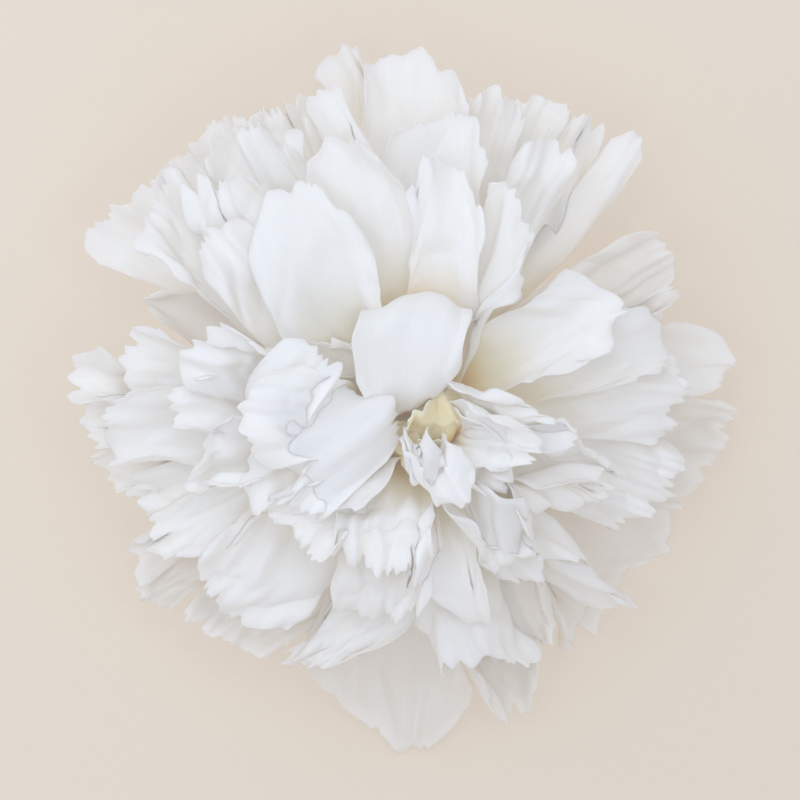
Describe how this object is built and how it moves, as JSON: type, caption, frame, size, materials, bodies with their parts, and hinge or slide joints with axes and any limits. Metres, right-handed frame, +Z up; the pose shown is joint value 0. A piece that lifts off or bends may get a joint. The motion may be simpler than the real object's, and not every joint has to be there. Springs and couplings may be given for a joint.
{
  "type": "cut carnation",
  "caption": "Head of a cut white carnation lying face up, with ruffled toothed petals in layers, calyx, scales and a short stub of stem.",
  "frame": {"origin": "middle of the bounding box's underside, on the surface that the head lies on", "axes": "+Z up from the surface, +Y to the top of the picture, which is the bloom's longest way across, +X to its right"},
  "size_m": [0.0774, 0.0814, 0.0476],
  "materials": {
    "petal": "matt, softly translucent white petal",
    "calyx": "waxy grey green",
    "bract": "waxy light green",
    "stem": "waxy green, pale at the cut",
    "pistil": "pale cream"
  },
  "bodies": {
    "root": {"petals": "petal", "calyx": "calyx", "bracts": "bract", "stem": "stem", "pistil": "pistil"}
  },
  "joints": []
}
